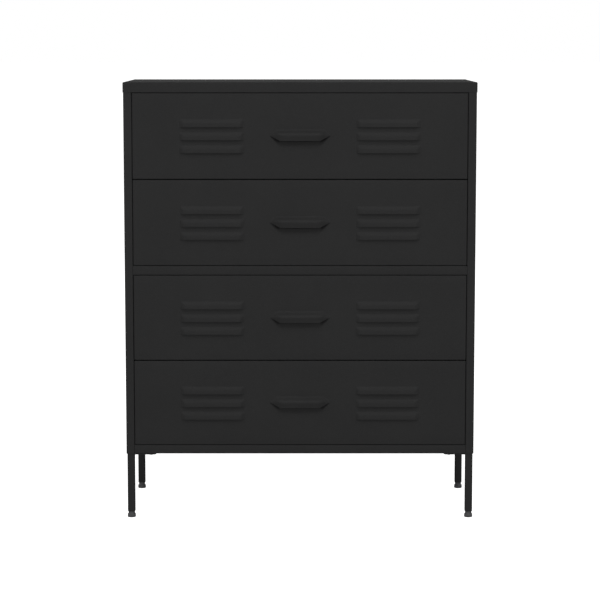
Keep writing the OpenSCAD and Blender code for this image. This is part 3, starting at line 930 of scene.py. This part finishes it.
def drawer_side(k, side):
    name = "left" if side < 0 else "right"
    node = f"drawer_side_{name}_{k}"
    low, high = corners(node)
    fold, ledge, hem = low.y + 3 * MM, BOX_X - 13 * MM, BOX_X - 5 * MM
    z0, z1 = low.z, high.z
    section = [(ledge, z0), (BOX_X, z0), (BOX_X, z1), (hem, z1), (hem, z1 - 6 * MM)]
    flange = [(ledge, low.y), (BOX_X, low.y), (BOX_X, fold)]
    parts = [strip(section, fold, high.y, along_y, 1.6 * MM), strip(flange, z0, z1, along_z, 1.6 * MM)]
    parts = mirrored(parts, side)
    micro_bevel(piece(f"{node}_folded", parts, BLACK, f"drawer_{k}", [node]))


def drawer_back(k):
    node = f"drawer_back_{k}"
    low, high = corners(node)
    path = [(low.x, low.y), (low.x, high.y), (high.x, high.y), (high.x, low.y)]
    hem_low = (low.x + 3 * MM, high.y - 4 * MM, high.z - SHEET)
    hem_high = (high.x - 3 * MM, high.y - 0.6 * MM, high.z)
    parts = [strip(path, low.z, high.z, along_z, 1.6 * MM, inward=-1), plate(hem_low, hem_high)]
    micro_bevel(piece(f"{node}_folded", parts, BLACK, f"drawer_{k}", [node]))


def drawer_bottom(k):
    node = f"drawer_bottom_{k}"
    low, high = corners(node)
    half = high.x - 12 * MM
    path = [(high.y, low.z), (low.y, low.z), (low.y, high.z)]
    parts = [strip(path, -half, half, along_x, 1.6 * MM, inward=-1)]
    for side in SIDES:
        x0, x1 = sorted((side * half, side * high.x))
        parts.append(plate((x0, low.y, low.z), (x1, high.y, low.z + SHEET)))
    micro_bevel(piece(f"{node}_folded", parts, BLACK, f"drawer_{k}", [node]))


# ---- runners and rollers ----

def stud(head_from, head_to, shank_to, y, z):
    """A swaged stud along X: its head first, then the shank into the runner."""
    d = 1 if shank_to > head_to else -1
    r, shank = 4 * MM, 2.5 * MM
    profile = [
        (0, head_from), (2.6 * MM, head_from), (3.5 * MM, head_from + d * 0.15 * MM),
        (r, head_from + d * 0.45 * MM), (r, head_to - d * 0.1 * MM), (r - 0.1 * MM, head_to),
        (shank, head_to), (shank, shank_to), (0, shank_to)]
    return lathe(profile, (0, y, z), "X", 36)


def cabinet_runners(k):
    node = f"cabinet_runners_{k}"
    low, high = corners(node)
    t, inner = track_z(k), LIP_X - 11.5 * MM
    top = t + 27 * MM
    cut = low.y + 61 * MM
    path = [(inner, t - SHEET), (LIP_X, t - SHEET), (LIP_X, top - 1.8 * MM), (LIP_X, top), (inner, top)]
    trim = lambda p, start: cut if p.y > top - 1.75 * MM else start
    head_from, head_to, shank_to = 368.9 * MM, 369.8 * MM, LIP_X - 0.5 * MM
    parts = [
        strip(path, low.y, high.y, along_y, 1.6 * MM, trim=trim),
        stud(head_from, head_to, shank_to, FRONT_ROLLER_Y, t + 12 * MM)]
    micro_bevel(piece(f"{node}_rolled", both_sides(parts), ZINC, "cabinet", [node]))


def drawer_runners(k):
    node = f"drawer_runners_{k}"
    low, high = corners(node)
    t = track_z(k)
    top = t + 23.5 * MM
    path = [(BOX_X, t + 4 * MM), (BOX_X, top), (LIP_X - 3.3 * MM, top)]
    head_from, head_to, shank_to = 377.3 * MM, 376.4 * MM, BOX_X + 0.6 * MM
    parts = [
        strip(path, low.y, high.y, along_y, 1.8 * MM, thick=RUNNER_SHEET, inward=-1),
        stud(head_from, head_to, shank_to, REAR_ROLLER_Y, t + 10.3 * MM)]
    micro_bevel(piece(f"{node}_rolled", both_sides(parts), ZINC, f"drawer_{k}", [node]))


def roller(x0, y, z):
    """A nylon roller from its inner face x0: crowned tread, hub, and a recessed web with ribs.
    The (radius, depth) points of its section, from the bore to the tread, are in mm."""
    w = ROLLER_WIDTH / MM
    half = [
        (2.55, 0.25), (2.8, 0.0), (4.3, 0.0), (4.6, 0.2), (4.75, 1.3), (5.1, 1.6), (7.4, 1.6),
        (7.8, 1.3), (7.9, 0.35), (8.2, 0.1), (9.3, 0.1), (9.75, 0.45), (9.93, 1.2), (10.0, 2.6)]
    loop = half + [(r, w - h) for r, h in reversed(half)] + half[:1]
    parts = [lathe([(r * MM, x0 + h * MM) for r, h in loop], (0, y, z), "X", 56)]
    for k in range(6):
        t = math.pi / 3 * k
        along, across = Vector((0, math.cos(t), math.sin(t))), Vector((0, -math.sin(t), math.cos(t)))
        for h0, h1 in ((0.7, 1.9), (w - 1.9, w - 0.7)):
            verts = []
            for h in (h0, h1):
                for r, side in ((4.4, -0.45), (8.1, -0.45), (8.1, 0.45), (4.4, 0.45)):
                    p = along * r * MM + across * side * MM
                    verts.append(Vector((x0 + h * MM, y + p.y, z + p.z)))
            faces = [[0, 1, 2, 3], [7, 6, 5, 4], [0, 4, 5, 1], [1, 5, 6, 2], [2, 6, 7, 3], [3, 7, 4, 0]]
            parts.append((verts, faces))
    return parts


def rollers(k, end):
    node = f"{end}_rollers_{k}"
    low, high = corners(node)
    y, z = (low.y + high.y) / 2, (low.z + high.z) / 2
    parts = both_sides(roller(high.x - ROLLER_WIDTH, y, z))
    piece(f"{node}_moulded", parts, NYLON, node, [node], degrees=34)


# ---- fasteners ----

def rivet(x0, x1, y, z, head=0.5 * MM):
    """A rivet along X with a domed head at each end."""
    r, shank = 3.0 * MM, 2.0 * MM
    profile = [(0, x0 - head), (1.3 * MM, x0 - head * 0.92), (2.3 * MM, x0 - head * 0.6), (r, x0 - 0.02 * MM),
               (shank, x0), (shank, x1), (r, x1 + 0.02 * MM), (2.3 * MM, x1 + head * 0.6),
               (1.3 * MM, x1 + head * 0.92), (0, x1 + head)]
    return lathe(profile, (0, y, z), "X", 28)


def socket_head(r, h, shank, length, centre):
    """A button-head screw with a hexagon socket, up Z: its head's top at 0, its shank's end at length."""
    key, depth = r * 0.38, h * 0.6
    profile = [
        (0, depth), (key, depth), (key, 0.02 * MM), (key * 1.1, 0), (r * 0.6, h * 0.06),
        (r * 0.85, h * 0.3), (r * 0.97, h * 0.65), (r, h * 0.9), (r * 0.985, h), (shank, h),
        (shank, length - shank * 0.3), (shank * 0.7, length), (0, length)]

    def socket(radius, height, turn):
        return hexagon(radius, turn) if abs(radius - key) < 1e-7 else radius

    return lathe(profile, centre, "Z", 36, socket)


def hex_nut(centre, r, h):
    """A nut up Z that stands on its centre, its corners chamfered at both ends."""
    rings = []
    for radius, z in ((r * 0.9, 0.0), (r, 0.35 * MM), (r, h - 0.35 * MM), (r * 0.9, h)):
        loop = []
        for s in range(36):
            t = 2 * math.pi * s / 36
            q = min(hexagon(r, t), radius)
            loop.append(Vector((q * math.cos(t), q * math.sin(t))))
        rings.append(lift(loop, centre, centre[2] + z))
    return stack(rings)


def cabinet_fasteners():
    """Three screws and nuts for each leg's plate, and two rivets for each channel."""
    parts = []
    spacing, head = 46 * MM, 2.2 * MM
    head_z = FLOOR_LOW.z - LEG_PLATE - head
    for corner, (sx, sy) in CORNERS.items():
        c = leg_centre(corner)
        for i, j in ((1, 0), (0, 1), (1, 1)):
            x, y = c.x - sx * i * spacing, c.y - sy * j * spacing
            parts.append(socket_head(4.5 * MM, head, 2.4 * MM, 11.2 * MM, (x, y, head_z)))
            parts.append(hex_nut((x, y, FLOOR_LOW.z + SHEET), 4.6 * MM, 4 * MM))
    for k in DRAWERS:
        low, high = corners(f"cabinet_runners_{k}")
        for y in (low.y + 10 * MM, high.y - 15 * MM):
            parts += both_sides([rivet(LIP_X - SHEET, LIP_X + SHEET, y, track_z(k) + 13 * MM)])
    piece("cabinet_fasteners_turned", parts, ZINC, "cabinet", ["cabinet_fasteners"])


def drawer_fasteners(k):
    """On each side: two screws into the front, two rivets in the back and two in the runner."""
    node = f"drawer_fasteners_{k}"
    head, screw_x, back_y = 1.8 * MM, BOX_X - 6 * MM, 144 * MM
    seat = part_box(f"drawer_side_right_{k}")[0].y + SHEET
    parts = []
    for rise in (60 * MM, 120 * MM):
        z = base_z(k) + rise
        verts, faces = socket_head(3.6 * MM, head, 2 * MM, 6.8 * MM, (0, 0, 0))
        turned = [Vector((screw_x + v.x, seat + head - v.z, z + v.y)) for v in verts]
        parts.append((turned, faces))
        parts.append(rivet(BOX_X - 2 * SHEET, BOX_X, back_y, z))
    for y in (-60 * MM, 60 * MM):
        parts.append(rivet(BOX_X - SHEET, BOX_X + RUNNER_SHEET, y, track_z(k) + 14 * MM))
    piece(f"{node}_turned", both_sides(parts), ZINC, f"drawer_{k}", [node])


def leg_inserts():
    """Square plugs with a round bore and softened edges."""
    parts = []
    low, high = corners("leg_inserts")
    outer = rounded_square(7.3 * MM, 1.2 * MM)
    soft = rounded_square(7.0 * MM, 1.0 * MM)
    bore = [p.normalized() * 4.05 * MM for p in outer]
    wide = [p.normalized() * 4.4 * MM for p in outer]
    rows = [(soft, low.z), (outer, low.z + 0.3 * MM), (outer, high.z),
            (bore, high.z), (bore, low.z + 0.35 * MM), (wide, low.z)]
    for corner in CORNERS:
        c = leg_centre(corner)
        parts.append(stack([lift(loop, c, z) for loop, z in rows], hollow=True))
    piece("leg_inserts_moulded", parts, INSERT_BLACK, "cabinet", ["leg_inserts"])


# ---- the CAD node that stays ----

def keep_node(node, material):
    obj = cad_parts[node]
    obj.data.materials.clear()
    obj.data.materials.append(material)
    add_bevel(obj, 0.18 * MM, 2, 45)


# ---- floor, light and camera ----

FLOOR_X, FLOOR_NEAR, FLOOR_FAR = 40, -12, 90
FLOOR_GLOW, WORLD_FILL = 1.0, 0.26
AIM = (0, 0, 0.6)
# each light's place, size and power
FRONT_LIGHT = ((0, -6.0, 0.95), (5.0, 1.7), 63)
HIGH_LIGHT = ((0, -3.2, 5.4), (5.0, 3.0), 134)
SIDE_LIGHT = ((3.6, -1.4, 2.0), (2.4, 2.4), 22)
REAR_LIGHT = ((3.4, 4.2, 2.2), (2.4, 2.4), 40)
LENS, PITCH, SHIFT = 125.6, 6.81, -0.02
EYE_BACK, EYE_Z = 4.733, 1.0987


def floor():
    """A pale floor that the camera sees as pure white, and that glows on nothing else."""
    x, near, far = FLOOR_X, FLOOR_NEAR, FLOOR_FAR
    verts = [(-x, near, 0), (x, near, 0), (x, far, 0), (-x, far, 0)]
    obj = new_object("floor", mesh_from("floor", verts, [[0, 1, 2, 3]]))
    material, tree, shader = nodes_for("studio_floor")
    shader.inputs["Base Color"].default_value = (0.64, 0.64, 0.64, 1)
    shader.inputs["Roughness"].default_value = 0.9
    shader.inputs["Specular IOR Level"].default_value = 0.1
    shader.inputs["Emission Color"].default_value = (1, 1, 1, 1)
    path = add(tree, "ShaderNodeLightPath")
    tree.links.new(ramp(tree, path.outputs["Is Camera Ray"], 0.0, 1.0, 0.0, FLOOR_GLOW),
                   shader.inputs["Emission Strength"])
    obj.data.materials.append(material)


def backdrop():
    """A world that is white to the camera and a dim fill light to everything else."""
    world = bpy.data.worlds.new("studio")
    bpy.context.scene.world = world
    world.use_nodes = True
    tree = world.node_tree
    seen = tree.nodes["Background"]
    fill = add(tree, "ShaderNodeBackground")
    for shader, strength in ((seen, 1.0), (fill, WORLD_FILL)):
        shader.inputs["Color"].default_value = (1, 1, 1, 1)
        shader.inputs["Strength"].default_value = strength
    path = add(tree, "ShaderNodeLightPath")
    mix = add(tree, "ShaderNodeMixShader")
    tree.links.new(path.outputs["Is Camera Ray"], mix.inputs["Fac"])
    tree.links.new(fill.outputs["Background"], mix.inputs[1])
    tree.links.new(seen.outputs["Background"], mix.inputs[2])
    tree.links.new(mix.outputs["Shader"], tree.nodes["World Output"].inputs["Surface"])


def soft_light(name, spec, side=1):
    """A rectangular light from (place, size, power), aimed at the chest."""
    (x, y, z), size, power = spec
    light = bpy.data.lights.new(name, "AREA")
    light.shape = "RECTANGLE"
    light.size, light.size_y = size
    light.energy = power
    obj = new_object(name, light)
    obj.location = (side * x, y, z)
    obj.rotation_euler = (Vector(AIM) - obj.location).to_track_quat("-Z", "Y").to_euler()


def lights():
    soft_light("front_soft", FRONT_LIGHT)
    soft_light("high_soft", HIGH_LIGHT)
    for side in SIDES:
        soft_light(f"side_soft_{side + 1}", SIDE_LIGHT, side)
        soft_light(f"rear_soft_{side + 1}", REAR_LIGHT, side)


def camera():
    data = bpy.data.cameras.new("camera")
    data.lens = LENS
    data.sensor_width = 36
    data.shift_y = SHIFT
    data.clip_end = 150
    obj = new_object("camera", data)
    obj.location = (0, FACE_Y - EYE_BACK, EYE_Z)
    obj.rotation_euler = (math.radians(90 - PITCH), 0, 0)
    bpy.context.scene.camera = obj


# ---- build ----

lid()
for side in SIDES:
    side_panel(side)
bottom_panel()
middle_rail()
for corner in CORNERS:
    leg(corner)
    foot(corner)
    foot_stem(corner)
for k in DRAWERS:
    drawer_front(k)
    for side in SIDES:
        drawer_side(k, side)
    drawer_back(k)
    drawer_bottom(k)
    cabinet_runners(k)
    drawer_runners(k)
    rollers(k, "front")
    rollers(k, "rear")
    drawer_fasteners(k)
cabinet_fasteners()
leg_inserts()
keep_node("back_panel", BLACK)

floor()
backdrop()
lights()
camera()
bpy.context.scene.view_settings.view_transform = "Standard"
bpy.context.scene.view_settings.look = "None"
